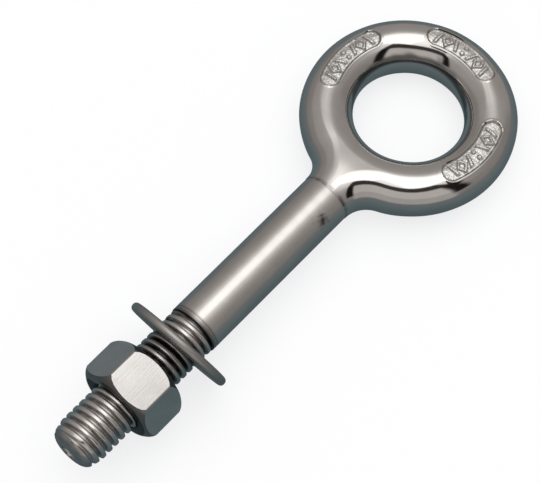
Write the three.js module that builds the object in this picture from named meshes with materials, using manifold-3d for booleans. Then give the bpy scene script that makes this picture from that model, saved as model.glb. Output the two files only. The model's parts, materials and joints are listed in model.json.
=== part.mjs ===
// Eye bolt, regular nut pattern, 1/2-13 thread, with its hex nut and a loose plain washer.
//
// Each piece is first built about the bolt's own axis: x runs from the threaded end (x = 0) to the
// eye, and the eye lies in the x-y plane. The whole set is then laid down as it rests on a table,
// with +X to the eye and +Z up. It stands on the washer's rim and the far edge of the eye, and its
// origin is on the table under the middle of its bounding box. Units are millimetres.

import * as THREE from 'three';
import { mergeVertices } from 'three/addons/utils/BufferGeometryUtils.js';
import Module from 'manifold-3d';

// ---- thread: 1/2-13 UNC, right hand ----
const PITCH = 25.4 / 13;
const PITCH_RADIUS = 5.716;
const FLANK_SLOPE = Math.tan(Math.PI / 6);
const CREST_RADIUS = 6.2;
const ROOT_RADIUS = 5.2;
const THREAD_PHASE = 2.04;
const THREAD_END = 39.3;
const STEPS_PER_TURN = 16;
const RIDGE_ROOTING = 0.25;
const BLANK_ALLOWANCE = 0.3;

// ---- bolt end ----
const END_FLAT_RADIUS = 2.6;
const END_ROUND_LENGTH = 3.2;
const DIMPLE_RADIUS = 1.9;
const DIMPLE_DEPTH = 1.1;
const DIMPLE_SEGMENTS = 12;
const END_ROUND_STEPS = 4;

// ---- shank and forged eye ----
const SHANK_RADIUS = 6.35;
const NECK_LAND = 0.3;
const NECK_RADIUS = 6.45;
const NECK_FILLET = 6.4;
const EYE_CENTRE = 114.4;
const EYE_HOLE_RADIUS = 13.3;
const EYE_OUTER_RADIUS = 25.95;
const HEAD_HALF_THICKNESS = 6.4;
const CROWN_WIDTH = 0.12;
const EYE_OUTER_STEPS = 46;
const EYE_HOLE_STEPS = 40;
const NECK_FILLET_STEPS = 6;
const SECTION_STEPS = 5;

// ---- recessed panels on the upper face of the eye ----
const PANEL_HALF_ANGLE = THREE.MathUtils.degToRad(28.5);
const PANEL_RADIUS = 20.0;
const PANEL_HALF_WIDTH = 2.6;
const PANEL_FLOOR = 5.55;
const PANEL_STEPS = 5;
const PANEL_BEARINGS = [Math.PI / 2, 0, -Math.PI / 2];

// ---- hex nut ----
const NUT_START = 14.65;
const NUT_THICKNESS = 11.15;
const NUT_ACROSS_FLATS = 18.8;
const NUT_CHAMFER = THREE.MathUtils.degToRad(37);
const NUT_FACE_RADIUS = 9.0;
const NUT_TURN = THREE.MathUtils.degToRad(16.5);
const NUT_THREAD_OUTER = 6.55;
const NUT_THREAD_INNER = 5.5;
const NUT_AXIAL_CLEARANCE = 0.22;
const COUNTERSINK_RADIUS = 6.95;
const BORE_OVERRUN = 0.05;
const NUT_SEGMENTS = 36;

// ---- plain washer ----
const WASHER_OUTER_RADIUS = 13.5;
const WASHER_BORE_RADIUS = 6.9;
const WASHER_THICKNESS = 2.1;
const WASHER_RIM_ROUND = 0.9;
const WASHER_RIM_STEPS = 3;
const WASHER_CENTRE = 34.7;
const WASHER_TILT = THREE.MathUtils.degToRad(14.7);

const ROUND_SEGMENTS = 24;
const WASHER_SEGMENTS = 40;
const SLOPE_ROUNDS = 20;

// ---- solids ----
const wasm = await Module();
wasm.setup();

/** A closed three.js geometry as a manifold solid. */
function solid(geometry) {
  const bare = geometry.index ? geometry.toNonIndexed() : geometry.clone();
  bare.deleteAttribute('normal');
  bare.deleteAttribute('uv');
  const merged = mergeVertices(bare, 1e-4);
  const corners = merged.index.array;
  const kept = [];
  for (let i = 0; i < corners.length; i += 3) {
    const [a, b, c] = [corners[i], corners[i + 1], corners[i + 2]];
    if (a !== b && b !== c && c !== a) kept.push(a, b, c);
  }
  return new wasm.Manifold(new wasm.Mesh({
    numProp: 3,
    vertProperties: Float32Array.from(merged.attributes.position.array),
    triVerts: Uint32Array.from(kept),
  }));
}

/** A manifold solid back as a three.js geometry. */
function geometryOf(manifold) {
  const mesh = manifold.getMesh();
  const geometry = new THREE.BufferGeometry();
  const places = Float32Array.from(mesh.vertProperties);
  geometry.setAttribute('position', new THREE.BufferAttribute(places, 3));
  geometry.setIndex(Array.from(mesh.triVerts));
  geometry.computeVertexNormals();
  return geometry;
}

/** A turned solid about the x axis from [x, radius] points that start and end on the axis. */
function turned(points, segments = ROUND_SEGMENTS) {
  const profile = points.map(([x, radius]) => new THREE.Vector2(radius, x));
  const geometry = new THREE.LatheGeometry(profile, segments);
  geometry.rotateZ(-Math.PI / 2);
  return solid(geometry);
}

/** The centre line of a thread ridge, with frames that keep its profile square to the axis. */
class ThreadHelix extends THREE.Curve {
  constructor(firstTurn, lastTurn) {
    super();
    this.firstTurn = firstTurn;
    this.lastTurn = lastTurn;
  }

  angle(t) {
    return THREE.MathUtils.lerp(this.firstTurn, this.lastTurn, t) * 2 * Math.PI;
  }

  getPoint(t, target = new THREE.Vector3()) {
    const a = this.angle(t);
    const x = THREAD_PHASE + (a / (2 * Math.PI)) * PITCH;
    return target.set(x, PITCH_RADIUS * Math.cos(a), PITCH_RADIUS * Math.sin(a));
  }

  getPointAt(t, target) {
    return this.getPoint(t, target);
  }

  computeFrenetFrames(segments) {
    const frames = { tangents: [], normals: [], binormals: [] };
    for (let i = 0; i <= segments; i += 1) {
      const a = this.angle(i / segments);
      frames.tangents.push(new THREE.Vector3(0, -Math.sin(a), Math.cos(a)));
      frames.normals.push(new THREE.Vector3(0, Math.cos(a), Math.sin(a)));
      frames.binormals.push(new THREE.Vector3(-1, 0, 0));
    }
    return frames;
  }
}

/**
 * One helical ridge that covers start to end along the axis, between two radii, widened by spare.
 * Its steps fall on the facet edges of a turned core, so that the two join without slivers.
 */
function ridge(start, end, inner, outer, spare) {
  const halfWidth = (radius) => PITCH / 4 + spare - (radius - PITCH_RADIUS) * FLANK_SLOPE;
  const profile = new THREE.Shape();
  profile.moveTo(inner - PITCH_RADIUS, -halfWidth(inner));
  profile.lineTo(outer - PITCH_RADIUS, -halfWidth(outer));
  profile.lineTo(outer - PITCH_RADIUS, halfWidth(outer));
  profile.lineTo(inner - PITCH_RADIUS, halfWidth(inner));
  profile.closePath();
  const stepAt = (x) => Math.round(((x - THREAD_PHASE) / PITCH) * STEPS_PER_TURN);
  const steps = stepAt(end) - stepAt(start);
  const extrudePath = new ThreadHelix(stepAt(start) / STEPS_PER_TURN, stepAt(end) / STEPS_PER_TURN);
  return solid(new THREE.ExtrudeGeometry(profile, { steps, extrudePath }));
}

// ---- the forged eye and its neck, outlined in the plane of the eye ----
const FILLET_REACH = EYE_OUTER_RADIUS + NECK_FILLET;
const FILLET_HEIGHT = NECK_RADIUS + NECK_FILLET;
const FILLET_X = EYE_CENTRE - Math.sqrt(FILLET_REACH ** 2 - FILLET_HEIGHT ** 2);
const HEAD_START = FILLET_X - NECK_LAND;

function headOutline() {
  const lean = Math.acos(FILLET_HEIGHT / FILLET_REACH);
  const quarter = Math.PI / 2;
  const arc = (x, y, radius, from, to, clockwise, pieces) => (
    new THREE.ArcCurve(x, y, radius, from, to, clockwise).getPoints(pieces));
  const lower = arc(FILLET_X, -FILLET_HEIGHT, NECK_FILLET, quarter, quarter - lean, true,
    NECK_FILLET_STEPS);
  const round = arc(EYE_CENTRE, 0, EYE_OUTER_RADIUS, -quarter - lean, quarter + lean, false,
    EYE_OUTER_STEPS);
  const upper = arc(FILLET_X, FILLET_HEIGHT, NECK_FILLET, lean - quarter, -quarter, true,
    NECK_FILLET_STEPS);
  const outline = new THREE.Shape([
    new THREE.Vector2(HEAD_START, -NECK_RADIUS),
    ...lower,
    ...round.slice(1, -1),
    ...upper,
    new THREE.Vector2(HEAD_START, NECK_RADIUS),
  ]);
  const hole = arc(EYE_CENTRE, 0, EYE_HOLE_RADIUS, 0, 2 * Math.PI, true, EYE_HOLE_STEPS);
  outline.holes.push(new THREE.Path(hole.slice(0, -1)));
  return outline;
}

/** The outline with its edges rounded over to a narrow crown, so that each section is round. */
function head() {
  const roundOver = (EYE_OUTER_RADIUS - EYE_HOLE_RADIUS - CROWN_WIDTH) / 2;
  const geometry = new THREE.ExtrudeGeometry(headOutline(), {
    depth: CROWN_WIDTH,
    bevelEnabled: true,
    bevelSegments: SECTION_STEPS,
    bevelSize: roundOver,
    bevelOffset: -roundOver,
    bevelThickness: HEAD_HALF_THICKNESS - CROWN_WIDTH / 2,
  });
  geometry.translate(0, 0, -CROWN_WIDTH / 2);
  return solid(geometry);
}

/** The curved slot that sinks one panel into the eye, at a bearing about the eye's centre. */
function panelCutter(bearing) {
  const shape = new THREE.Shape();
  const [from, to] = [-PANEL_HALF_ANGLE, PANEL_HALF_ANGLE];
  const along = (angle) => [PANEL_RADIUS * Math.cos(angle), PANEL_RADIUS * Math.sin(angle)];
  const inner = PANEL_RADIUS - PANEL_HALF_WIDTH;
  shape.absarc(0, 0, PANEL_RADIUS + PANEL_HALF_WIDTH, from, to, false);
  shape.absarc(...along(to), PANEL_HALF_WIDTH, to, to + Math.PI, false);
  shape.absarc(0, 0, inner, to, from, true);
  shape.absarc(...along(from), PANEL_HALF_WIDTH, from + Math.PI, from + 2 * Math.PI, false);
  const geometry = new THREE.ExtrudeGeometry(shape, {
    depth: HEAD_HALF_THICKNESS,
    curveSegments: PANEL_STEPS,
    bevelEnabled: false,
  });
  geometry.translate(0, 0, PANEL_FLOOR);
  geometry.rotateZ(bearing);
  geometry.translate(EYE_CENTRE, 0, 0);
  return solid(geometry);
}

// ---- the three pieces ----
function eyeBolt() {
  const shankStop = HEAD_START + 2 * NECK_RADIUS;
  const shank = turned([
    [THREAD_END, 0],
    [THREAD_END, SHANK_RADIUS],
    [shankStop, SHANK_RADIUS],
    [shankStop, 0],
  ]);
  const core = turned([
    [0, 0],
    [0, ROOT_RADIUS],
    [THREAD_END + 1, ROOT_RADIUS],
    [THREAD_END + 1, 0],
  ], STEPS_PER_TURN);
  const blankPoints = [[0, 0], [0, END_FLAT_RADIUS]];
  const blankRadius = CREST_RADIUS + BLANK_ALLOWANCE;
  const rise = blankRadius - END_FLAT_RADIUS;
  for (let i = 1; i <= END_ROUND_STEPS; i += 1) {
    const turn = (i / END_ROUND_STEPS) * (Math.PI / 2);
    const x = END_ROUND_LENGTH * (1 - Math.cos(turn));
    blankPoints.push([x, END_FLAT_RADIUS + rise * Math.sin(turn)]);
  }
  blankPoints.push([THREAD_END + PITCH, blankRadius], [THREAD_END + PITCH, 0]);
  const blank = turned(blankPoints);
  const dimple = turned([
    [-1, 0],
    [-1, DIMPLE_RADIUS],
    [0, DIMPLE_RADIUS],
    [DIMPLE_DEPTH, 0],
  ], DIMPLE_SEGMENTS);
  const runOut = THREAD_END + PITCH / 4;
  const thread = ridge(-PITCH, runOut, ROOT_RADIUS - RIDGE_ROOTING, CREST_RADIUS, 0);
  let bolt = core.add(thread).intersect(blank).subtract(dimple).add(shank).add(head());
  for (const bearing of PANEL_BEARINGS) bolt = bolt.subtract(panelCutter(bearing));
  return geometryOf(bolt);
}

function hexNut() {
  const cornerRadius = NUT_ACROSS_FLATS / 2 / Math.cos(Math.PI / 6);
  const hexagon = new THREE.Shape();
  for (let i = 0; i < 6; i += 1) {
    const a = NUT_TURN + (i * Math.PI) / 3;
    const corner = [cornerRadius * Math.cos(a), cornerRadius * Math.sin(a)];
    if (i === 0) hexagon.moveTo(...corner);
    else hexagon.lineTo(...corner);
  }
  hexagon.closePath();
  const prism = new THREE.ExtrudeGeometry(hexagon, { depth: NUT_THICKNESS, bevelEnabled: false });
  // The hexagon's own x and y become the bolt's y and z.
  prism.applyMatrix4(new THREE.Matrix4().makeBasis(
    new THREE.Vector3(0, 1, 0),
    new THREE.Vector3(0, 0, 1),
    new THREE.Vector3(1, 0, 0),
  ));
  prism.translate(NUT_START, 0, 0);
  const end = NUT_START + NUT_THICKNESS;
  const chamferRadius = cornerRadius + BLANK_ALLOWANCE;
  const chamferLength = (chamferRadius - NUT_FACE_RADIUS) * Math.tan(NUT_CHAMFER);
  const chamfers = turned([
    [NUT_START, 0],
    [NUT_START, NUT_FACE_RADIUS],
    [NUT_START + chamferLength, chamferRadius],
    [end - chamferLength, chamferRadius],
    [end, NUT_FACE_RADIUS],
    [end, 0],
  ], NUT_SEGMENTS);
  const bore = turned([
    [NUT_START - 1, 0],
    [NUT_START - 1, NUT_THREAD_INNER],
    [end + 1, NUT_THREAD_INNER],
    [end + 1, 0],
  ], STEPS_PER_TURN);
  const sinkDepth = (COUNTERSINK_RADIUS - NUT_THREAD_INNER) * Math.tan(NUT_CHAMFER);
  const countersink = (face, way) => turned(way > 0
    ? [[face - 1, 0], [face - 1, COUNTERSINK_RADIUS], [face, COUNTERSINK_RADIUS],
      [face + sinkDepth, NUT_THREAD_INNER - BORE_OVERRUN], [face + sinkDepth, 0]]
    : [[face - sinkDepth, 0], [face - sinkDepth, NUT_THREAD_INNER - BORE_OVERRUN],
      [face, COUNTERSINK_RADIUS], [face + 1, COUNTERSINK_RADIUS], [face + 1, 0]]);
  const groove = ridge(
    NUT_START - 2 * PITCH,
    end + 2 * PITCH,
    NUT_THREAD_INNER - RIDGE_ROOTING,
    NUT_THREAD_OUTER,
    NUT_AXIAL_CLEARANCE,
  );
  return geometryOf(solid(prism).intersect(chamfers).subtract(bore).subtract(groove)
    .subtract(countersink(NUT_START, 1)).subtract(countersink(end, -1)));
}

function plainWasher() {
  const half = WASHER_THICKNESS / 2;
  const points = [new THREE.Vector2(WASHER_BORE_RADIUS, -half)];
  const arc = (height, from) => {
    for (let i = 0; i <= WASHER_RIM_STEPS; i += 1) {
      const a = from + (i / WASHER_RIM_STEPS) * (Math.PI / 2);
      const radius = WASHER_OUTER_RADIUS - WASHER_RIM_ROUND + WASHER_RIM_ROUND * Math.cos(a);
      points.push(new THREE.Vector2(radius, height + WASHER_RIM_ROUND * Math.sin(a)));
    }
  };
  arc(-half + WASHER_RIM_ROUND, -Math.PI / 2);
  arc(half - WASHER_RIM_ROUND, 0);
  points.push(new THREE.Vector2(WASHER_BORE_RADIUS, half), points[0].clone());
  const geometry = new THREE.LatheGeometry(points, WASHER_SEGMENTS);
  geometry.rotateZ(-Math.PI / 2);
  return geometryOf(solid(geometry));
}

// ---- the set, first about the bolt's axis ----
const steel = (color, roughness) => new THREE.MeshStandardMaterial({
  color,
  roughness,
  metalness: 1,
});
const bolt = new THREE.Mesh(eyeBolt(), steel(0xb9b2ad, 0.16));
bolt.name = 'eye_bolt';
const washer = new THREE.Mesh(plainWasher(), steel(0xa39d98, 0.3));
washer.name = 'washer';
washer.position.x = WASHER_CENTRE;
washer.rotation.y = -WASHER_TILT;
const nut = new THREE.Mesh(hexNut(), steel(0xc4bfba, 0.2));
nut.name = 'hex_nut';

// ---- laid down: the slope at which the washer's rim and the eye's far edge both touch z = 0 ----
const eyeMid = (EYE_OUTER_RADIUS + EYE_HOLE_RADIUS) / 2;
const eyeRound = HEAD_HALF_THICKNESS;
let slope = 0;
for (let i = 0; i < SLOPE_ROUNDS; i += 1) {
  const lean = WASHER_TILT - slope;
  const flatRadius = WASHER_OUTER_RADIUS - WASHER_RIM_ROUND;
  const washerHeight = flatRadius * Math.cos(lean) + WASHER_RIM_ROUND
    + (WASHER_THICKNESS / 2 - WASHER_RIM_ROUND) * Math.sin(lean);
  const span = EYE_CENTRE - WASHER_CENTRE + eyeMid;
  slope = Math.asin((washerHeight - eyeRound) / span);
}
const laid = new THREE.Group();
laid.add(bolt, washer, nut);
laid.rotation.y = slope;
laid.updateMatrixWorld(true);
const box = new THREE.Box3().setFromObject(laid, true);
const middle = box.getCenter(new THREE.Vector3());
laid.position.set(-middle.x, -middle.y, -box.min.z);

const eyeBoltSet = new THREE.Group();
eyeBoltSet.add(laid);
eyeBoltSet.updateMatrixWorld(true);
export default eyeBoltSet;
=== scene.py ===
# Eye bolt with its hex nut and loose washer, laid on a pale studio floor.
#
# Shapes are first built in millimetres about the bolt's own axis: x runs from the threaded end to
# the eye, the eye lies in the x-y plane, and z is its upper face. place() then sets them on the
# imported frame, in metres.

import json
import math

import bmesh
import bpy
import numpy as np
from mathutils import Matrix, Vector


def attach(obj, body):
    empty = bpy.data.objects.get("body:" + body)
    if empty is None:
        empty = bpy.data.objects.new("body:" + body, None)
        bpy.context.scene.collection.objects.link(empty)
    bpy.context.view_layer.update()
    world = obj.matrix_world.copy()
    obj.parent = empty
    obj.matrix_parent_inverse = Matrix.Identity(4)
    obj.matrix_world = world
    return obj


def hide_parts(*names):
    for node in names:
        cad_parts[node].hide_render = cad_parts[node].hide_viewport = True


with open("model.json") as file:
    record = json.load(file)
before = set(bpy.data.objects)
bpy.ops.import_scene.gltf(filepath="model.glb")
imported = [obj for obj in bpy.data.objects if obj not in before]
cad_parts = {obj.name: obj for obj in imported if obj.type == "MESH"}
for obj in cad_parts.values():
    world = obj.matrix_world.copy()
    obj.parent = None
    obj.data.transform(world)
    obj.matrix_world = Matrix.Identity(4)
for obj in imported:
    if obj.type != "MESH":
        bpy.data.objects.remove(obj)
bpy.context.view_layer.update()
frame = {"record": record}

# All lengths are in millimetres, and all angles in degrees, unless a line says otherwise.
MM = 0.001
TAU = 2 * math.pi
MERGE_DISTANCE = 1e-5
# How far solids that are joined or cut reach into each other or past each other.
OVERLAP = 2
CUTTER_MARGIN = 3
FAR_AWAY = 9.0
# Seeds of the smooth random fields.
FORGED_SEED, GRAIN_SEED, BLOTCH_SEED, STAIN_SEED, BAND_SEED = 3, 5, 11, 13, 17

# ---- thread: 1/2-13 UNC, right hand ----
PITCH = 25.4 / 13
CREST_RADIUS = 6.2
ROOT_RADIUS = 5.2
THREAD_PHASE = 2.04
THREAD_END = 39.3
THREAD_SIDES = 84
# Shares of a pitch, counted from the middle of a crest.
CREST_MIDWAY = 0.1
CREST_SHARE = 0.19
FLANK_SHARES = (0.23, 0.27, 0.315, 0.36, 0.41)
ROOT_SHARE = 0.455
CREST_CROWN = 0.03
# A crest at the bolt's very end has only this share of its height, and the whole at FADE_END.
FADED_SHARE = 0.25
FADE_START = 0.5
FADE_END = 4.8

# ---- bolt end ----
END_FLAT_RADIUS = 2.6
END_ROUND_SWEEP = 78
PILOT_RADIUS = 5.6
PILOT_START = 2.0
PILOT_END = 2.4
DIMPLE_RADIUS = 1.9
DIMPLE_DEPTH = 1.1
DIMPLE_SQUARENESS = 0.75
DIMPLE_RIM = 0.25

# ---- shank and forged eye ----
SHANK_RADIUS = 6.35
# (distance past the thread's end, depth) of the shoulder's edge and of a light tool mark
SHOULDER_STEPS = ((0, 0.14), (0.14, 0), (1.12, 0), (1.2, 0.1), (1.28, 0.1), (1.36, 0))
TOOL_MARK = 1.24
SHANK_RIPPLE = 0.004
SHANK_RIPPLE_RATE = 1.7
SHANK_ROW = 1.0
STAINED_ROW = 0.35
STAINED_LENGTH = 10
# The undercut's radii, and how far its two sides stand before the thread's end.
UNDERCUT_RADII = (ROOT_RADIUS + 0.3, SHANK_RADIUS + 0.5)
UNDERCUT_REACH = (0.28, 0.03)
NECK_RADIUS = 6.45
NECK_FILLET = 6.4
NECK_LAND = 0.3
# The ground edge at the neck wanders in two waves: (height, waves round the neck, phase).
NECK_WAVES = ((0.16, 2, 0.6), (0.16 * 0.6, 5, 2.1))
WEB_BULGE = 0.03
WEB_BULGE_REACH = (-1, 15)
FORGED_WAVES_START = (0.5, 2.5)
FORGED_WAVE_SIZE = 12.0
FORGED_WAVE_DEPTH = 0.034
EYE_CENTRE = 114.4
EYE_HOLE_RADIUS = 13.3
EYE_OUTER_RADIUS = 25.95
HEAD_HALF_THICKNESS = 6.4
TUBE_RADIUS = (EYE_OUTER_RADIUS - EYE_HOLE_RADIUS) / 2
RING_RADIUS = (EYE_OUTER_RADIUS + EYE_HOLE_RADIUS) / 2

# ---- recessed panels on the upper face of the eye ----
PANEL_RADIUS = 20.0
PANEL_HALF_WIDTH = 2.6
PANEL_HALF_LENGTH = 10.1
PANEL_WALL = 0.5
PANEL_DEPTH = 0.68
# Distances across a panel's edge are negative inside it, and pairs are where a change starts and
# where it is complete.
PANEL_FLOOR_EDGE = -PANEL_WALL * 0.6
LIP_HEIGHT = 0.04
LIP_MIDDLE = 0.1
LIP_SPREAD = (0.45, 0.1)
MARKED_FLOOR = (-0.35, -PANEL_WALL - 0.15)
PANEL_GRAIN_SIZE = 0.9
PANEL_GRAIN_DEPTH = 0.034
PANEL_BEARINGS = (math.pi / 2, 0.0, -math.pi / 2)  # radians
# Half the part of the eye that one panel's fine mesh takes up, and columns for each part.
PANEL_SPAN = 32
PANEL_COLUMNS = 104
GAP_COLUMNS = 14
SIDE_COLUMNS = 26

# ---- raised marks in the panels ----
MARK_HEIGHT = 0.48
MARK_FLANK = (0.16, -0.12)
MARK_SPACING = 2.35
MARK_COUNT = 7
MARK_KINDS = ("bar", "lozenge", "bar", "dots")
BAR_LEAN = 0.35
BAR_HALF_WIDTH = 0.34
BAR_HALF_HEIGHT = 1.55
LOZENGE_SLOPE = 1.35
LOZENGE_NORM = 1.68
LOZENGE_SIZE = 0.9
LOZENGE_HALF_LINE = 0.27
DOT_OFFSET = 0.95
DOT_RADIUS = 0.5

# ---- small stains on the shank: (place along it, turn about it, size, depth) ----
SHANK_STAINS = ((78.0, 137.0, 0.95, 0.85), (78.3, 126.0, 0.5, 0.5), (77.0, 140.0, 0.5, 0.4))

# ---- hex nut ----
NUT_THICKNESS = 11.15
NUT_ACROSS_FLATS = 18.8
NUT_FACE_RADIUS = 9.0
# (distance from the end face, radius beyond the face's) down the chamfer
NUT_CHAMFER_STEPS = ((0, -0.3), (0.06, 0), (0.19, 0.23), (0.8, 1.02), (1.3, 1.46), (1.9, 1.75))
NUT_CHAMFER_LENGTH = 4.0
NUT_CORNER_ROUND = 0.6
NUT_CLEARANCE = 0.25
COUNTERSINK_RADIUS = 6.85

# ---- plain washer ----
WASHER_OUTER_RADIUS = 13.5
WASHER_BORE_RADIUS = 6.9
WASHER_THICKNESS = 2.1
WASHER_RIM_ROUND = 0.95
WASHER_BORE_ROUND = 0.2


# ---- where the pieces lie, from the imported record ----
def mount(name):
    """(position in metres, outward direction) of one of the record's mounts."""
    row = next(m for m in frame["record"]["mounts"] if m["name"] == name)
    return Vector(row["pos_m"]), Vector(row["axis"]).normalized()


def bolt_frame():
    """The 4x4 matrix that takes bolt-axis millimetres to the row frame's metres."""
    end, outward = mount("bolt_end_face")
    x_axis = -outward
    y_axis = Vector((0, 1, 0))
    z_axis = x_axis.cross(y_axis)
    turn = Matrix((x_axis, y_axis, z_axis)).transposed().to_4x4()
    return Matrix.Translation((end.x, 0, end.z)) @ turn @ Matrix.Scale(MM, 4)


LAID = bolt_frame()
UNLAID = LAID.inverted()


def local_mount(name):
    """A mount's position in bolt-axis millimetres and its direction there."""
    place, outward = mount(name)
    return UNLAID @ place, (UNLAID.to_3x3() @ outward).normalized()


# ---- mesh helpers ----
def mesh_object(name, vertices, faces):
    """A closed mesh with doubled points merged and its faces turned outward."""
    mesh = bpy.data.meshes.new(name)
    mesh.from_pydata([tuple(v) for v in vertices], [], faces)
    work = bmesh.new()
    work.from_mesh(mesh)
    bmesh.ops.remove_doubles(work, verts=work.verts, dist=MERGE_DISTANCE)
    bmesh.ops.recalc_face_normals(work, faces=work.faces)
    work.to_mesh(mesh)
    work.free()
    obj = bpy.data.objects.new(name, mesh)
    bpy.context.scene.collection.objects.link(obj)
    return obj


def turned(name, points, sides=128):
    """A solid turned about the x axis from (x, radius) points that start and end at radius 0."""
    rings = points[1:-1]
    angles = np.arange(sides) / sides * TAU
    vertices = [(points[0][0], 0.0, 0.0)]
    for x, radius in rings:
        vertices += [(x, radius * math.cos(a), radius * math.sin(a)) for a in angles]
    vertices.append((points[-1][0], 0.0, 0.0))
    faces = []
    last = len(vertices) - 1
    for i in range(sides):
        j = (i + 1) % sides
        faces.append((0, 1 + i, 1 + j))
        for row in range(len(rings) - 1):
            a = 1 + row * sides
            b = a + sides
            faces.append((a + i, b + i, b + j, a + j))
        a = 1 + (len(rings) - 1) * sides
        faces.append((last, a + j, a + i))
    return mesh_object(name, vertices, faces)


def closed_grid(name, points):
    """A torus-like solid from an array of points [around, along, xyz] that wraps both ways."""
    around, along = points.shape[:2]
    number = np.arange(around * along).reshape(around, along)
    right = np.roll(number, -1, axis=0)
    up = np.roll(number, -1, axis=1)
    both = np.roll(right, -1, axis=1)
    faces = np.stack([number, right, both, up], axis=-1).reshape(-1, 4)
    return mesh_object(name, points.reshape(-1, 3), faces.tolist())


def turned_ring(name, profile, sides=160):
    """A solid ring turned about the x axis from a closed profile of (x, radius) points."""
    profile = np.array(profile)
    angles = np.arange(sides)[:, None] / sides * TAU
    return closed_grid(name, np.stack([
        np.broadcast_to(profile[:, 0], (sides, len(profile))),
        np.cos(angles) * profile[:, 1], np.sin(angles) * profile[:, 1],
    ], axis=-1))


def combine(obj, other, operation):
    """Applies a boolean of other to obj and removes other."""
    modifier = obj.modifiers.new("join", "BOOLEAN")
    modifier.operation = operation
    modifier.solver = "MANIFOLD"
    modifier.object = other
    apply_modifiers(obj)
    bpy.data.objects.remove(other)


def apply_modifiers(obj):
    """Replaces the mesh by what its modifiers make of it."""
    depsgraph = bpy.context.evaluated_depsgraph_get()
    mesh = bpy.data.meshes.new_from_object(obj.evaluated_get(depsgraph))
    obj.modifiers.clear()
    obj.data = mesh


def sharpen(obj, degrees):
    """Smooth faces, with a hard edge wherever two faces meet at more than the angle."""
    mesh = obj.data
    mesh.polygons.foreach_set("use_smooth", [True] * len(mesh.polygons))
    mesh.set_sharp_from_angle(angle=math.radians(degrees))


def place(obj, body, node, slot):
    """Puts a finished piece on the frame in place of its CAD node."""
    obj.data.transform(LAID)
    obj.data.update()
    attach(obj, body)
    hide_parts(node)


def smoothstep(low, high, value):
    """0 at low to 1 at high with soft ends; low may be the greater."""
    t = np.clip((value - low) / (high - low), 0.0, 1.0)
    return t * t * (3 - 2 * t)


def wander(points, scale, seed):
    """A smooth field of about -1 to 1 over points in millimetres, from a few summed waves."""
    random = np.random.default_rng(seed)
    total = np.zeros(points.shape[:-1])
    waves = 9
    for _ in range(waves):
        direction = random.normal(size=3)
        direction *= random.uniform(0.6, 1.6) / np.linalg.norm(direction)
        total += np.sin(points @ direction * TAU / scale + random.uniform(0, TAU))
    return total / math.sqrt(waves)


# ---- the forged eye and neck ----
FILLET_REACH = EYE_OUTER_RADIUS + NECK_FILLET
FILLET_HEIGHT = NECK_RADIUS + NECK_FILLET
FILLET_X = EYE_CENTRE - math.sqrt(FILLET_REACH ** 2 - FILLET_HEIGHT ** 2)
HEAD_START = FILLET_X - NECK_LAND
TANGENT = math.pi - math.asin(FILLET_HEIGHT / FILLET_REACH)
FILLET_STEPS = 18
WEB_STEPS = 6


def stretches(*parts):
    """Angles in radians from (start, end, count) stretches in degrees, without the last end."""
    return np.radians(np.concatenate([np.linspace(a, b, n, endpoint=False) for a, b, n in parts]))


def mark_field(u, v):
    """Distance in millimetres to the raised marks of a panel: slanted bars, lozenges and dots."""
    distance = np.full(u.shape, FAR_AWAY)
    for i in range(MARK_COUNT):
        du = u - (i - (MARK_COUNT - 1) / 2) * MARK_SPACING
        kind = MARK_KINDS[i % len(MARK_KINDS)]
        if kind == "bar":
            lean = BAR_LEAN if i % len(MARK_KINDS) == 0 else -BAR_LEAN
            across = (du - lean * v) / math.hypot(1, lean)
            shape = np.maximum(np.abs(across) - BAR_HALF_WIDTH, np.abs(v) - BAR_HALF_HEIGHT)
        elif kind == "lozenge":
            outer = (np.abs(du) * LOZENGE_SLOPE + np.abs(v)) / LOZENGE_NORM - LOZENGE_SIZE
            shape = np.abs(outer) - LOZENGE_HALF_LINE
        else:
            dots = np.minimum(np.hypot(du, v - DOT_OFFSET), np.hypot(du, v + DOT_OFFSET))
            shape = dots - DOT_RADIUS
        distance = np.minimum(distance, shape)
    return distance


def panel_edge(points, bearing):
    """Place along and across one panel, and the distance to its edge, negative inside it."""
    along = np.arctan2(points[..., 1], points[..., 0] - EYE_CENTRE) - bearing
    along = (along + math.pi) % TAU - math.pi
    u = along * PANEL_RADIUS
    v = np.hypot(points[..., 0] - EYE_CENTRE, points[..., 1]) - PANEL_RADIUS
    straight = PANEL_HALF_LENGTH - PANEL_HALF_WIDTH
    edge = np.hypot(np.maximum(np.abs(u) - straight, 0.0), v) - PANEL_HALF_WIDTH
    return u, v, np.where(points[..., 2] > 0, edge, FAR_AWAY)


def panel_sink(points, bearing):
    """How far each surface point sinks for one recessed panel, marks and floor grain included."""
    u, v, edge = panel_edge(points, bearing)
    sunk = smoothstep(0.0, -PANEL_WALL, edge) * PANEL_DEPTH
    lip = smoothstep(*LIP_SPREAD, np.abs(edge - LIP_MIDDLE)) * LIP_HEIGHT
    marks = smoothstep(*MARK_FLANK, mark_field(u, v)) * MARK_HEIGHT
    inside = smoothstep(*MARKED_FLOOR, edge)
    grain = wander(points, PANEL_GRAIN_SIZE, GRAIN_SEED) * PANEL_GRAIN_DEPTH * inside
    return sunk - lip - marks * inside + grain


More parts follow.
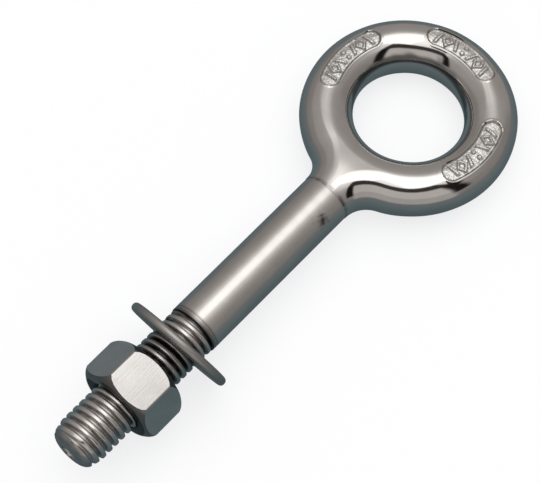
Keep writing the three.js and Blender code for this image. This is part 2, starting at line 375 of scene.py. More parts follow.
def head_columns():
    """The middle curves of the head's inner and outer sides, each with its outward ways.

    The columns run from the upper fillet round the far side of the eye to the lower fillet, and
    back across the neck. Where the eye's section is a plain round, both sides share one curve.
    """
    tangent = math.degrees(TANGENT)
    near_side, far_side = 90 + PANEL_SPAN, 90 - PANEL_SPAN
    round_eye = stretches(
        (tangent, near_side, SIDE_COLUMNS), (near_side, far_side, PANEL_COLUMNS),
        (far_side, PANEL_SPAN, GAP_COLUMNS), (PANEL_SPAN, -PANEL_SPAN, PANEL_COLUMNS),
        (-PANEL_SPAN, -far_side, GAP_COLUMNS), (-far_side, -near_side, PANEL_COLUMNS),
        (-near_side, -tangent, SIDE_COLUMNS),
    )
    web = np.linspace(-TANGENT, TANGENT - TAU, 2 * FILLET_STEPS + 4)[:-1]
    bearing = np.concatenate([round_eye, web])
    inner_way = np.stack([np.cos(bearing), np.sin(bearing)], axis=-1)
    inner = inner_way * RING_RADIUS + [EYE_CENTRE, 0]
    outer, outer_way = inner.copy(), inner_way.copy()
    first, total = len(round_eye), len(bearing)
    lean = np.linspace(math.pi - TANGENT, math.pi / 2, FILLET_STEPS + 1)
    lower = first + np.arange(FILLET_STEPS + 1)
    upper = total - np.arange(1, FILLET_STEPS + 1)
    for side, columns, steps, stop in (
        (-1, lower, lean, first + FILLET_STEPS + 1),
        (1, upper, lean[1:], first + FILLET_STEPS + 2),
    ):
        way = np.stack([np.cos(steps), -side * np.sin(steps)], axis=-1)
        outer[columns] = way * (NECK_FILLET + TUBE_RADIUS) + [FILLET_X, side * FILLET_HEIGHT]
        outer_way[columns] = -way
        outer[stop] = [HEAD_START, side * (NECK_RADIUS - TUBE_RADIUS)]
        outer_way[stop] = [0, side]
    return inner, inner_way, outer, outer_way


def head_sections():
    """Angles in radians round the tube, and each one's share of the way across the web.

    They run from the panels' outer edge over the top to the inner side, and back underneath.
    A share of 0 is on the outer side's curve, and 1 on the inner side's.
    """
    across = np.linspace(0, 1, WEB_STEPS + 1)[1:-1]
    over_top, underneath = np.full(len(across), 90.0), np.full(len(across), 270.0)
    outer_top = np.linspace(50, 90, 26)
    inner_side = np.concatenate([np.linspace(90, 124, 23), np.linspace(124, 270, 34)[1:]])
    outer_side = np.linspace(270, 410, 36)[:-1]
    angle = np.concatenate([outer_top, over_top, inner_side, underneath, outer_side])
    blend = np.concatenate([
        np.zeros(len(outer_top)), across, np.ones(len(inner_side)), across[::-1],
        np.zeros(len(outer_side)),
    ])
    return np.radians(angle), blend


def forged_head():
    """The eye, web and neck as one closed skin, with the panels sunk into its upper face."""
    inner, inner_way, outer, outer_way = head_columns()
    angle, blend = head_sections()
    share = blend[None, :, None]
    middle = outer[:, None, :] * (1 - share) + inner[:, None, :] * share
    way = np.where(share > 0.5, inner_way[:, None, :], outer_way[:, None, :])
    flat = middle + way * (TUBE_RADIUS * np.cos(angle))[None, :, None]
    rise = np.broadcast_to(np.sin(angle), flat.shape[:2])[..., None]
    points = np.concatenate([flat, HEAD_HALF_THICKNESS * rise], axis=-1)
    bulge = np.sin(math.pi * smoothstep(*WEB_BULGE_REACH, points[..., 0] - FILLET_X))
    points[..., 2] *= 1 + WEB_BULGE * bulge
    normals = np.concatenate([way * np.cos(angle)[None, :, None], rise], axis=-1)
    sink = sum(panel_sink(points, centre) for centre in PANEL_BEARINGS)
    sink += wander(points, FORGED_WAVE_SIZE, FORGED_SEED) * FORGED_WAVE_DEPTH
    clear = smoothstep(*FORGED_WAVES_START, points[..., 0] - FILLET_X)
    points = points - normals * (sink * clear)[..., None]
    # The forging flash was ground off at the neck, so its edge wanders a little.
    turn = np.arctan2(points[..., 2], points[..., 1])
    edge = HEAD_START + sum(size * np.sin(n * turn + phase) for size, n, phase in NECK_WAVES)
    at_edge = (points[..., 0] < FILLET_X - NECK_LAND / 2) & (blend[None, :] == 0)
    points[..., 0] = np.where(at_edge, edge, points[..., 0])
    return closed_grid("forged_bolt", points)


# ---- the thread ----
def thread_body(name, start, end, root, crest, fading=False):
    """A closed threaded rod past start and end; its crests can fade toward the bolt's end."""
    half = np.array([0, CREST_MIDWAY, CREST_SHARE, *FLANK_SHARES, ROOT_SHARE])
    share = np.concatenate([half, 1 - half[:0:-1]])
    off_crest = np.minimum(share, 1 - share)
    radii = crest - (crest - root) * smoothstep(CREST_SHARE, ROOT_SHARE, off_crest)
    radii -= CREST_CROWN * np.minimum(off_crest / CREST_SHARE, 1) ** 2
    per_turn = len(share)
    first = math.floor((start - THREAD_PHASE) / PITCH) - 1
    turns = math.ceil((end - THREAD_PHASE) / PITCH) + 2 - first
    x = (THREAD_PHASE + (first + np.arange(turns)[:, None] + share) * PITCH).ravel()
    radius = np.tile(radii, turns)
    angles = np.arange(THREAD_SIDES) / THREAD_SIDES * TAU
    rows = len(x)
    along = x[None, :] + angles[:, None] / TAU * PITCH
    radius = np.broadcast_to(radius, along.shape)
    if fading:
        share = FADED_SHARE + (1 - FADED_SHARE) * smoothstep(FADE_START, FADE_END, along)
        radius = root + (radius - root) * share
    points = np.stack([
        along, radius * np.cos(angles[:, None]), radius * np.sin(angles[:, None]),
    ], axis=-1)
    # Rows follow the helix, so the last column meets the first one pitch further on.
    number = np.arange(THREAD_SIDES * rows).reshape(THREAD_SIDES, rows)
    sides = [(number[:-1], number[1:]),
             (number[-1:, :rows - per_turn], number[:1, per_turn:])]
    faces = []
    for left, right in sides:
        quads = [left[:, :-1], left[:, 1:], right[:, 1:], right[:, :-1]]
        faces += np.stack(quads, axis=-1).reshape(-1, 4).tolist()
    # Each end is closed by a fan from the axis, round its last row and back along the seam.
    low = [*number[:, 0], *range(per_turn, 0, -1)]
    high = [*number[:-1, -1], *(number[-1, -1] - np.arange(per_turn + 1))]
    vertices = points.reshape(-1, 3)
    for rim, middle in ((low, x[0]), (high, x[-1])):
        hub = len(vertices)
        vertices = np.vstack([vertices, [[middle + PITCH / 2, 0, 0]]])
        faces += [(int(a), int(b), hub) for a, b in zip(rim, rim[1:] + rim[:1])]
    return mesh_object(name, vertices, faces)


def eye_bolt():
    """The one forging: threaded end with its dimple, undercut shoulder, shank and eye."""
    # The end is rounded up to a pilot, from which the first turn of the thread rises.
    outside = CREST_RADIUS + 0.1
    rise = PILOT_RADIUS - END_FLAT_RADIUS
    crown = [
        (PILOT_START * (1 - math.cos(a)), END_FLAT_RADIUS + rise * math.sin(a))
        for a in np.linspace(0, math.radians(END_ROUND_SWEEP), 20)
    ]
    dimple = [
        (DIMPLE_DEPTH * math.cos(a) ** DIMPLE_SQUARENESS,
         DIMPLE_RADIUS * math.sin(a) ** DIMPLE_SQUARENESS)
        for a in np.linspace(0, math.pi / 2, 15)
    ]
    dimple[0], dimple[-1] = (DIMPLE_DEPTH, 0), (0, DIMPLE_RADIUS)
    blank = turned("blank", [
        *dimple, (0, DIMPLE_RADIUS + DIMPLE_RIM), *crown, (PILOT_END, outside),
        (THREAD_END + OVERLAP, outside), (THREAD_END + OVERLAP, 0),
    ])
    rod = thread_body("rod", -CUTTER_MARGIN, THREAD_END + 2 * OVERLAP, ROOT_RADIUS, CREST_RADIUS,
                      fading=True)
    combine(rod, blank, "INTERSECT")
    # The shank starts at an undercut, and a light tool mark rings it a little further on.
    shank = turned("shank", [
        (THREAD_END - 0.2, 0), (THREAD_END - 0.2, ROOT_RADIUS + 0.2),
        *((THREAD_END + past, SHANK_RADIUS - depth) for past, depth in SHOULDER_STEPS),
        *((x, SHANK_RADIUS + SHANK_RIPPLE * math.sin(SHANK_RIPPLE_RATE * x)) for x in (
            *np.arange(THREAD_END + OVERLAP, HEAD_START - STAINED_LENGTH, SHANK_ROW),
            *np.arange(HEAD_START - STAINED_LENGTH, HEAD_START + OVERLAP, STAINED_ROW))),
        (HEAD_START + OVERLAP + 1, SHANK_RADIUS), (HEAD_START + OVERLAP + 1, 0),
    ], 160)
    low, high = UNDERCUT_RADII
    near, far = THREAD_END - UNDERCUT_REACH[0], THREAD_END - UNDERCUT_REACH[1]
    undercut = turned_ring("undercut", [(near, low), (near, high), (far, high), (far, low)])
    bolt = forged_head()
    combine(rod, shank, "UNION")
    combine(rod, undercut, "DIFFERENCE")
    combine(bolt, rod, "UNION")
    return bolt


# ---- the nut ----
def hex_nut():
    """The nut: a rounded hexagon, chamfered at both ends, with its thread and countersinks."""
    near = local_mount("nut_outer_face")[0].x
    far = near + NUT_THICKNESS
    flat_way = local_mount("nut_wrench_flat")[1]
    flat_angle = math.atan2(flat_way.z, flat_way.y)
    corner_radius = NUT_ACROSS_FLATS / 2 / math.cos(math.pi / 6)
    inset = corner_radius - NUT_CORNER_ROUND / math.cos(math.pi / 6)
    outline = []
    for i in range(6):
        corner = flat_angle + math.pi / 6 + i * math.pi / 3
        outline += [
            (inset * math.cos(corner) + NUT_CORNER_ROUND * math.cos(corner + a),
             inset * math.sin(corner) + NUT_CORNER_ROUND * math.sin(corner + a))
            for a in np.linspace(-math.pi / 6, math.pi / 6, 7)
        ]
    count = len(outline)
    vertices = [(x, y, z) for x in (near, far) for y, z in outline]
    faces = [tuple(range(count)), tuple(range(count, 2 * count))]
    faces += [(i, (i + 1) % count, count + (i + 1) % count, count + i) for i in range(count)]
    nut = mesh_object("machined_nut", vertices, faces)

    chamfer = [(drop, NUT_FACE_RADIUS + more) for drop, more in NUT_CHAMFER_STEPS]
    chamfer.append((NUT_CHAMFER_LENGTH, corner_radius + 0.5))
    combine(nut, turned("chamfers", [
        (near, 0), *((near + drop, radius) for drop, radius in chamfer),
        *((far - drop, radius) for drop, radius in reversed(chamfer)), (far, 0),
    ], 256), "INTERSECT")

    root, crest = ROOT_RADIUS + NUT_CLEARANCE, CREST_RADIUS + NUT_CLEARANCE
    bore = thread_body("bore", near - CUTTER_MARGIN, far + CUTTER_MARGIN, root, crest)
    combine(nut, bore, "DIFFERENCE")
    sink = COUNTERSINK_RADIUS - root
    combine(nut, turned("sinks", [
        (near - 1, 0), (near - 1, COUNTERSINK_RADIUS), (near, COUNTERSINK_RADIUS),
        (near + sink, root), (far - sink, root),
        (far, COUNTERSINK_RADIUS), (far + 1, COUNTERSINK_RADIUS), (far + 1, 0),
    ]), "DIFFERENCE")
    return nut


# ---- the washer ----
def rounded_corner(x, radius, size, start):
    """Profile points that round one corner of a ring's section, from a start angle in degrees."""
    return [
        (x + size * math.sin(a), radius + size * math.cos(a))
        for a in np.radians(np.linspace(start, start + 90, 8))
    ]


def washer():
    """A tumbled washer: its outer rim is worn nearly round and its bore keeps crisper edges."""
    half = WASHER_THICKNESS / 2
    inner = WASHER_BORE_RADIUS + WASHER_BORE_ROUND
    outer = WASHER_OUTER_RADIUS - WASHER_RIM_ROUND
    obj = turned_ring("plain_washer", [
        *rounded_corner(half - WASHER_RIM_ROUND, outer, WASHER_RIM_ROUND, 0)[::-1],
        *rounded_corner(WASHER_RIM_ROUND - half, outer, WASHER_RIM_ROUND, 270)[::-1],
        *rounded_corner(WASHER_BORE_ROUND - half, inner, WASHER_BORE_ROUND, 180)[::-1],
        *rounded_corner(half - WASHER_BORE_ROUND, inner, WASHER_BORE_ROUND, 90)[::-1],
    ])
    face, way = local_mount("washer_bearing_face")
    centre = Vector((face.x, 0, face.z)) - way * half
    side = Vector((0, 1, 0))
    turn = Matrix((way, side, way.cross(side))).transposed().to_4x4()
    obj.data.transform(Matrix.Translation(centre) @ turn)
    return obj


# ---- dirt and painted shade: metal painted darker and duller in grooves, recesses and shaded places ----
GROOVE_RADII = (5.85, 5.3)
UNDER_NUT = (11.5, 14.0)
UNDER_NUT_END = 20
BEHIND_WASHER = (24.5, 26.5, 33.5, 35.5)
DEEPEST_SHADE = (29.0, 32.5)
RUNOUT = (33.0, 34.0, 38.2, 39.0)
RUNOUT_SIDES = (0.55, 0.95)
# Painted shade: the grooves darken toward the nut, behind the washer and at the runout's sides,
# and the whole thread darkens behind the washer.
GROOVE_DIRT_AND_SHADE, BLOTCH_GRIME, NUT_PAINTED_SHADE, WASHER_GROOVE_SHADE, RUNOUT_PAINTED_SHADE = 0.18, 0.22, 0.3, 0.4, 0.55
WASHER_SHADE, DEEP_SHADE = 0.25, 0.2
# (half width, depth) of the dark lines
# The shoulder's and the tool mark's lines are painted shade in their grooves.
SHOULDER_LINE = (0.3, 0.9)
TOOL_LINE = (0.14, 0.45)
NECK_LINE = (0.35, 0.85)
# Painted shade lines along the panels' walls and round their marks.
WALL_LINE = (0.22, 0.55)
MARK_LINE = (0.16, 0.5)
NECK_LINE_OFFSET = 0.1
MARK_LINE_OFFSET = 0.05
SHADE_LINED_FLOOR = (-0.3, -0.7)
# (size, strength) of the ragged edges
BLOTCH_SIZE = 3.0
BAND_RAGS = (4.0, 2)
STAIN_RAGS = (0.8, 0.35)
# The painted dark band inside the eye, standing in for the darker reflection and shade there: how
# far it leans up from the hole's innermost line, and how much more it does so at one bearing of
# the eye.
BAND_LEAN = 12
BAND_EXTRA_LEAN = 20
BAND_BEARING = 45
BAND_TOP = (14, 4)
BAND_BOTTOM = (-13, -4)
BAND_DEPTH = 0.75


def line(value, width, depth):
    """A soft dark line wherever the value is near zero."""
    return np.exp(-(value / width) ** 2) * depth


def plateau(value, start, full, still_full, end):
    """Rises from 0 to 1 between start and full, and falls back between still_full and end."""
    return smoothstep(start, full, value) * smoothstep(end, still_full, value)


def thread_grime_and_shade(points, blotch):
    """Dirt and painted shade in the grooves, deepening into painted shade toward the nut, behind
    the washer and at the runout's sides, with a painted shadow over the whole thread behind the
    washer.
    """
    x, radius = points[:, 0], np.hypot(points[:, 1], points[:, 2])
    washer_shadowed = plateau(x, *BEHIND_WASHER)
    at_nut = smoothstep(*UNDER_NUT, x) * (x < UNDER_NUT_END)
    at_runout = smoothstep(*RUNOUT_SIDES, np.abs(points[:, 1]) / radius) * plateau(x, *RUNOUT)
    groove_dirt_and_shade = GROOVE_DIRT_AND_SHADE + BLOTCH_GRIME * blotch + NUT_PAINTED_SHADE * at_nut
    groove_dirt_and_shade += WASHER_GROOVE_SHADE * washer_shadowed + RUNOUT_PAINTED_SHADE * at_runout
    shaded = washer_shadowed * (WASHER_SHADE + DEEP_SHADE * smoothstep(*DEEPEST_SHADE, x))
    return np.where(x < THREAD_END, smoothstep(*GROOVE_RADII, radius) * groove_dirt_and_shade + shaded, 0.0)


def panel_painted_shade(points, bearing):
    """Painted shade, as dark lines, along one panel's wall and round its marks."""
    u, v, edge = panel_edge(points, bearing)
    marks = line(mark_field(u, v) - MARK_LINE_OFFSET, *MARK_LINE)
    return line(edge - PANEL_FLOOR_EDGE, *WALL_LINE) + marks * smoothstep(*SHADE_LINED_FLOOR, edge)


def eye_band_painted_shade(points):
    """A dull dark band painted inside the eye, just above the hole's innermost line, for the
    darker reflection and shade there.
    """
    x = points[:, 0]
    inward = (RING_RADIUS - np.hypot(x - EYE_CENTRE, points[:, 1])) / TUBE_RADIUS
    lean = np.degrees(np.arctan2(points[:, 2] / HEAD_HALF_THICKNESS, inward))
    bearing = np.arctan2(points[:, 1], x - EYE_CENTRE)
    toward = np.maximum(np.cos(bearing - math.radians(BAND_BEARING)), 0)
    centre = BAND_LEAN + BAND_EXTRA_LEAN * toward
    size, strength = BAND_RAGS
    ragged = lean + strength * wander(points, size, BAND_SEED)
    return smoothstep(*BAND_TOP, ragged - centre) * smoothstep(*BAND_BOTTOM, lean - centre)


def stain_soil(points, along, turn, size, depth):
    """One small ragged stain on the shank."""
    angle = math.radians(turn)
    spot = np.array([along, SHANK_RADIUS * math.cos(angle), SHANK_RADIUS * math.sin(angle)])
    away = np.linalg.norm(points - spot, axis=1)
    rag_size, strength = STAIN_RAGS
    return line(away * (1 + strength * wander(points, rag_size, STAIN_SEED)), size, depth)


def grime_and_shade_of(points):
    """0 for clean metal to 1 for black, over points of the bolt in millimetres: dirt and stains,
    with painted shade in the grooves and recesses.
    """
    x = points[:, 0]
    blotch = np.clip(0.5 + 0.5 * wander(points, BLOTCH_SIZE, BLOTCH_SEED), 0, 1)
    grime_and_shade = thread_grime_and_shade(points, blotch)
    # Painted shade as dark lines in the undercut at the shoulder and in the tool mark's groove.
    grime_and_shade += line(x - THREAD_END, *SHOULDER_LINE)
    grime_and_shade += line(x - THREAD_END - TOOL_MARK, *TOOL_LINE)
    for bearing in PANEL_BEARINGS:
        grime_and_shade += panel_painted_shade(points, bearing)
    grime_and_shade += eye_band_painted_shade(points) * BAND_DEPTH
    grime_and_shade += line(x - HEAD_START - NECK_LINE_OFFSET, *NECK_LINE) * np.clip(blotch, 0.25, 1)
    for stain in SHANK_STAINS:
        grime_and_shade += stain_soil(points, *stain)
    return np.clip(grime_and_shade, 0, 1)


def store(obj, name, values):
    """Keeps one value for each vertex, for the materials to read."""
    layer = obj.data.attributes.new(name, "FLOAT", "POINT")
    layer.data.foreach_set("value", values.astype(np.float32))


def vertex_places(obj):
    """Every vertex's place, one row for each."""
    places = np.zeros(len(obj.data.vertices) * 3)
    obj.data.vertices.foreach_get("co", places)
    return places.reshape(-1, 3)


# ---- materials ----
def add(tree, kind, links=None, **values):
    """A node with its settings and inputs; an input given as a socket is linked."""
    node = tree.nodes.new(kind)
    for key, value in values.items():
        setattr(node, key, value)
    for key, value in (links or {}).items():
        socket = node.inputs[key]
        if isinstance(value, bpy.types.NodeSocket):
            tree.links.new(value, socket)
        else:
            socket.default_value = value
    return node


def ramp(tree, factor, *stops):
    """A colour ramp through (position, grey or colour) stops."""
    node = add(tree, "ShaderNodeValToRGB", {"Fac": factor})
    points = node.color_ramp.elements
    while len(points) < len(stops):
        points.new(0.5)
    for point, (position, value) in zip(points, stops):
        point.position = position
        point.color = (value, value, value, 1) if isinstance(value, float) else (*value, 1)
    return node.outputs["Color"]


def along_bolt(tree):
    """Coordinates in metres with x along the bolt's axis, whatever way the piece lies."""
    place_of = add(tree, "ShaderNodeTexCoord").outputs["Object"]
    slope = LAID.to_3x3().normalized().to_euler()
    turned_back = add(tree, "ShaderNodeMapping", {
        "Vector": place_of, "Rotation": (-slope.x, -slope.y, -slope.z),
    })
    return turned_back.outputs["Vector"]


def maths(tree, operation, *values):
    """A maths node's result for sockets and plain numbers."""
    return add(tree, "ShaderNodeMath", dict(enumerate(values)), operation=operation).outputs[0]


def mixed(tree, factor, first, second):
    """A colour mix from a socket to a plain colour."""
    mix = add(tree, "ShaderNodeMix", {0: factor}, data_type="RGBA")
    tree.links.new(first, mix.inputs[6])
    mix.inputs[7].default_value = (*second, 1)
    return mix.outputs[2]


def noise(tree, place_of, scale, detail, roughness):
    """A noise texture's grey level."""
    return add(tree, "ShaderNodeTexNoise", {
        "Vector": place_of, "Scale": scale, "Detail": detail, "Roughness": roughness,
    }).outputs["Fac"]


def stretched(tree, place_of, scale):
    """Coordinates scaled on each axis."""
    return add(tree, "ShaderNodeMapping", {"Vector": place_of, "Scale": scale}).outputs["Vector"]


# Texture scales are in features for each metre, and the bump's height in metres.
CLOUD_SCALE = 140.0
FINE_SCALE = 2600.0
TURNED_SCALE = (4200.0, 60.0, 60.0)
BRUSHED_SCALE = (80.0, 2600.0, 2600.0)
PIT_SCALE = 1500.0
BUMP_HEIGHT = 0.00004
GRIME_AND_SHADE_COLOR = (0.02, 0.019, 0.018)
# How strongly clouds, grain, turned lines and the dirt-and-painted-shade attribute tell in the
# colour and the roughness.
MOTTLE = 2.5
SPECKLE = 0.35
CLOUD_ROUGHNESS = 0.35
LINE_ROUGHNESS = 0.25
GRIME_AND_SHADE_ROUGHNESS = 0.15
DARKER = (0.89, 0.87, 0.86)
LIGHTER = 1.08


def metal(name, color, roughness, lines=0.0, grain=0.0, cloud=0.0, pits=0.0, brush=0.0):
    """Bare stainless steel with lines turned round it or brushed along it, grain and wear,
    painted darker by the dirt-and-shade attribute.
    """
    material = bpy.data.materials.new(name)
    material.use_nodes = True
    tree = material.node_tree
    shader = tree.nodes["Principled BSDF"]
    shader.inputs["Metallic"].default_value = 1.0
    place_of = along_bolt(tree)
    clouds = noise(tree, place_of, CLOUD_SCALE, 4.0, 0.6)
    fine = noise(tree, place_of, FINE_SCALE, 2.0, 0.6)
    lathe = noise(tree, stretched(tree, place_of, TURNED_SCALE), 1.0, 3.0, 0.65)

    mottle = cloud * MOTTLE
    speckle = grain * SPECKLE
    tone = maths(tree, "MULTIPLY", clouds, mottle)
    tone = maths(tree, "MULTIPLY_ADD", fine, speckle, tone)
    tone = maths(tree, "ADD", tone, 0.5 - (mottle + speckle) / 2)
    darker = tuple(c * share for c, share in zip(color, DARKER))
    lighter = tuple(min(1.0, c * LIGHTER) for c in color)
    shade = ramp(tree, tone, (0.3, darker), (0.7, lighter))
    # The attribute darkens the colour toward near black: dirt, and painted shade in grooves,
    # recesses and shaded places.
    grime_and_shade = add(tree, "ShaderNodeAttribute", attribute_name="grime_and_shade").outputs["Fac"]
    tree.links.new(mixed(tree, grime_and_shade, shade, GRIME_AND_SHADE_COLOR), shader.inputs["Base Color"])

    rough = maths(tree, "MULTIPLY_ADD", clouds, cloud * CLOUD_ROUGHNESS, roughness)
    rough = maths(tree, "MULTIPLY_ADD", lathe, lines * LINE_ROUGHNESS, rough)
    rough = maths(tree, "MULTIPLY_ADD", grime_and_shade, GRIME_AND_SHADE_ROUGHNESS, rough)
    tree.links.new(rough, shader.inputs["Roughness"])

    height = maths(tree, "MULTIPLY", lathe, lines)
    height = maths(tree, "MULTIPLY_ADD", fine, grain, height)
    if pits:
        cells = add(tree, "ShaderNodeTexVoronoi", {"Vector": place_of, "Scale": PIT_SCALE})
        height = maths(tree, "MULTIPLY_ADD", cells.outputs["Distance"], pits, height)
    if brush:
        strokes = noise(tree, stretched(tree, place_of, BRUSHED_SCALE), 1.0, 3.0, 0.7)
        height = maths(tree, "MULTIPLY_ADD", strokes, brush, height)
    bump = add(tree, "ShaderNodeBump", {
        "Height": height, "Strength": 1.0, "Distance": BUMP_HEIGHT,
    })
    tree.links.new(bump.outputs["Normal"], shader.inputs["Normal"])
    return material


def assign_by(obj, materials, pick):
    """Gives each face the material that pick() chooses from its middle and its normal."""
    mesh = obj.data
    mesh.materials.clear()
    for material in materials:
        mesh.materials.append(material)
    middles = np.zeros(len(mesh.polygons) * 3)
    mesh.polygons.foreach_get("center", middles)
    normals = np.zeros(len(mesh.polygons) * 3)
    mesh.polygons.foreach_get("normal", normals)
    chosen = pick(middles.reshape(-1, 3), normals.reshape(-1, 3))
    mesh.polygons.foreach_set("material_index", chosen.astype(np.int32))


# ---- the three pieces ----
polished = metal("polished_steel", (0.665, 0.64, 0.62), 0.035, cloud=0.22, grain=0.06)
ground = metal("ground_steel", (0.66, 0.635, 0.612), 0.10, lines=0.35, cloud=0.2, grain=0.14)
threaded = metal("rolled_thread_steel", (0.68, 0.655, 0.635), 0.12, lines=0.5, cloud=0.2,
                 grain=0.2)
sunk = metal("sunk_panel_steel", (0.88, 0.865, 0.85), 0.34, cloud=0.1, grain=2.4, pits=1.3)
nut_sided = metal("brushed_nut_steel", (0.66, 0.645, 0.63), 0.20, cloud=0.35, grain=0.3,
                  brush=0.45)
nut_faced = metal("turned_nut_steel", (0.26, 0.244, 0.235), 0.22, cloud=0.25, grain=0.3)
washer_faced = metal("stamped_washer_steel", (0.46, 0.44, 0.425), 0.38, cloud=0.2, grain=0.3)
# The nut's bore and countersinks are painted nearly black, as painted shade in the gap round the
# thread.
bore_painted_shade = metal("shade_painted_bore_steel", (0.03, 0.028, 0.027), 0.35, cloud=0.2, grain=0.3)


GROUND_END = HEAD_START - 0.3
ROLLED_END = THREAD_END - 0.5
FACING_END = 0.15


def bolt_regions(middle, _):
    """The polished eye, the ground shank, the rolled thread, and the panels' floors."""
    chosen = np.full(len(middle), 0)
    chosen[middle[:, 0] < GROUND_END] = 1
    chosen[middle[:, 0] < ROLLED_END] = 2
    for bearing in PANEL_BEARINGS:
        chosen[panel_edge(middle, bearing)[2] < PANEL_FLOOR_EDGE] = 3
    return chosen


def nut_regions(middle, normal):
    """The six sides, the turned end faces with their chamfers, and the bore with its
    countersinks, painted black as shade.
    """
    chosen = np.where(np.abs(normal[:, 0]) > FACING_END, 1, 0)
    chosen[np.hypot(middle[:, 1], middle[:, 2]) < COUNTERSINK_RADIUS - 0.01] = 2
    return chosen


bolt = eye_bolt()
sharpen(bolt, 32)
# Each vertex's dirt and painted shade, which darkens and dulls the metal.
store(bolt, "grime_and_shade", grime_and_shade_of(vertex_places(bolt)))
assign_by(bolt, [polished, ground, threaded, sunk], bolt_regions)
place(bolt, "bolt", "eye_bolt", "polished_forging")

nut = hex_nut()
sharpen(nut, 20)
assign_by(nut, [nut_sided, nut_faced, bore_painted_shade], nut_regions)
place(nut, "nut", "hex_nut", "nut_steel")

ring = washer()
sharpen(ring, 40)
assign_by(ring, [washer_faced], lambda middle, _: np.zeros(len(middle)))
place(ring, "washer", "washer", "washer_steel")


# ---- studio ----
# (elevation, colour) up the studio's walls and ceiling
WALLS = (
    (-80, (0.09, 0.123, 0.138)), (-40, (0.125, 0.170, 0.187)), (-14, (0.17, 0.205, 0.22)),
    (-5, (0.20, 0.21, 0.215)), (4, (0.27, 0.262, 0.255)), (20, (0.30, 0.285, 0.272)),
    (36, (0.38, 0.365, 0.35)), (48, (0.52, 0.50, 0.485)), (58, (0.85, 0.835, 0.82)),
    (70, (1.2, 1.19, 1.18)), (84, (1.4, 1.39, 1.38)),
)
DARK_CEILING_EDGE = (0.05, 0.045, 0.043)
BLACK_FLAG = (0.012, 0.011, 0.010)
GREY_WALL = (0.40, 0.385, 0.37)
# (azimuths, elevations, softness, colour, weight) of what stands in front of the walls
PANELS = (
    ((-36, 38), (60, 82), 5, (1.65, 1.63, 1.61), 1.0),
    ((75, 165), (25, 66), 8, GREY_WALL, 0.8),
    ((-20, 55), (-2, 45), 8, GREY_WALL, 0.6),
    ((-173, -96), (-4, 20), 4, (0.46, 0.445, 0.43), 1.0),
    ((-173, -96), (20, 52), 4, (0.60, 0.58, 0.56), 1.0),
    ((-190, -82), (51, 68), 3, DARK_CEILING_EDGE, 1.0),
    ((168, 190), (50, 67), 3, DARK_CEILING_EDGE, 1.0),
    ((-96, -81), (12, 54), 3, BLACK_FLAG, 1.0),
    ((164, 177), (22, 60), 3, BLACK_FLAG, 1.0),
    ((-125, 30), (69, 110), 1.5, (1.75, 1.74, 1.72), 1.0),
)


def studio():
    """A large soft box overhead, warm grey walls, and a darker cool floor level."""
    world = bpy.data.worlds.new("studio")
    world.use_nodes = True
    bpy.context.scene.world = world
    tree = world.node_tree
    way = add(tree, "ShaderNodeTexCoord").outputs["Generated"]
    split = add(tree, "ShaderNodeSeparateXYZ", {"Vector": way}).outputs
    elevation = maths(tree, "ARCSINE", split["Z"])
    azimuth = maths(tree, "ARCTAN2", split["Y"], split["X"])

    def step(value, start, end):
        """0 at start to 1 at end, both in degrees."""
        return add(tree, "ShaderNodeMapRange", {
            "Value": value, "From Min": math.radians(start), "From Max": math.radians(end),
        }, interpolation_type="SMOOTHSTEP").outputs[0]

    def band(value, low, high, soft):
        """One inside low..high degrees, falling to nothing over soft degrees."""
        rise = step(value, low - soft, low + soft)
        return maths(tree, "MULTIPLY", rise, step(value, high + soft, high - soft))

    height = add(tree, "ShaderNodeMapRange", {
        "Value": elevation, "From Min": -math.pi / 2, "From Max": math.pi / 2,
    }).outputs[0]
    lit = ramp(tree, height, *((0.5 + degrees / 180, color) for degrees, color in WALLS))
    for azimuths, elevations, soft, color, weight in PANELS:
        area = maths(tree, "MULTIPLY", band(azimuth, *azimuths, soft),
                     band(elevation, *elevations, soft))
        lit = mixed(tree, maths(tree, "MULTIPLY", area, weight), lit, color)
    tree.links.new(lit, tree.nodes["Background"].inputs["Color"])


studio()


# ---- floor, lamp and camera, all in metres ----
FLOOR_REACH = 6.0
FLOOR_COLOR = (0.22, 0.22, 0.223)
FLOOR_ROUGHNESS = 0.9
FLOOR_GLOW = (0.985, 0.99, 1.0)
FLOOR_GLOW_STRENGTH = 0.78
LAMP_SIDE = 3.0
LAMP_HEIGHT = 2.0
LAMP_POWER = 30.0
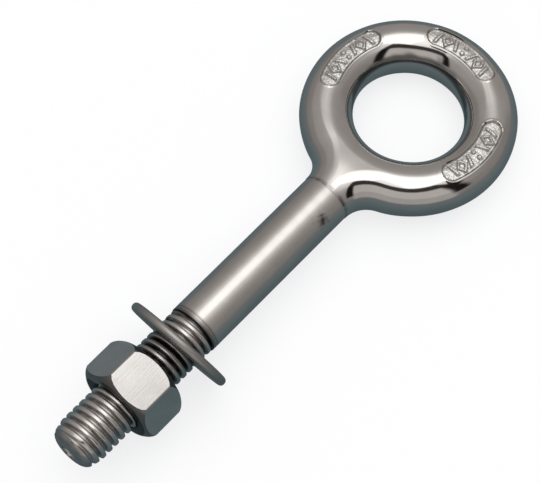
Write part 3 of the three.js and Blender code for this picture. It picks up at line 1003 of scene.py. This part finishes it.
# The camera looks down at 66 degrees from a bearing of 225 degrees, rolled by about one degree.
CAMERA_PLACE = (-0.1220, -0.1157, 0.3957)
CAMERA_FORWARD = (0.2845, 0.2806, -0.9167)
CAMERA_RIGHT = (0.6677, -0.7442, -0.0205)
FOCAL_LENGTH = 122.19
SENSOR_WIDTH = 36

floor = mesh_object("floor", [
    (-FLOOR_REACH, -FLOOR_REACH, 0), (FLOOR_REACH, -FLOOR_REACH, 0),
    (FLOOR_REACH, FLOOR_REACH, 0), (-FLOOR_REACH, FLOOR_REACH, 0),
], [(0, 1, 2, 3)])
floor_paint = bpy.data.materials.new("pale_floor")
floor_paint.use_nodes = True
floor_inputs = floor_paint.node_tree.nodes["Principled BSDF"].inputs
floor_inputs["Base Color"].default_value = (*FLOOR_COLOR, 1)
floor_inputs["Roughness"].default_value = FLOOR_ROUGHNESS
floor_inputs["Specular IOR Level"].default_value = 0.0
floor_inputs["Emission Color"].default_value = (*FLOOR_GLOW, 1)
floor_inputs["Emission Strength"].default_value = FLOOR_GLOW_STRENGTH
floor.data.materials.append(floor_paint)
floor.visible_glossy = False

# A wide soft lamp for the floor, which the bare metal doesn't mirror.
lamp_data = bpy.data.lights.new("overhead", "AREA")
lamp_data.size = LAMP_SIDE
lamp_data.energy = LAMP_POWER
lamp = bpy.data.objects.new("overhead", lamp_data)
lamp.location = (0, 0, LAMP_HEIGHT)
lamp.visible_glossy = False
bpy.context.scene.collection.objects.link(lamp)

camera_data = bpy.data.cameras.new("camera")
camera_data.lens = FOCAL_LENGTH
camera_data.sensor_width = SENSOR_WIDTH
camera = bpy.data.objects.new("camera", camera_data)
bpy.context.scene.collection.objects.link(camera)
forward = Vector(CAMERA_FORWARD).normalized()
right = Vector(CAMERA_RIGHT)
right = (right - forward * right.dot(forward)).normalized()
up = right.cross(forward)
facing = Matrix((right, up, -forward)).transposed().to_4x4()
camera.matrix_world = Matrix.Translation(CAMERA_PLACE) @ facing
bpy.context.scene.camera = camera
bpy.context.scene.view_settings.view_transform = "Standard"
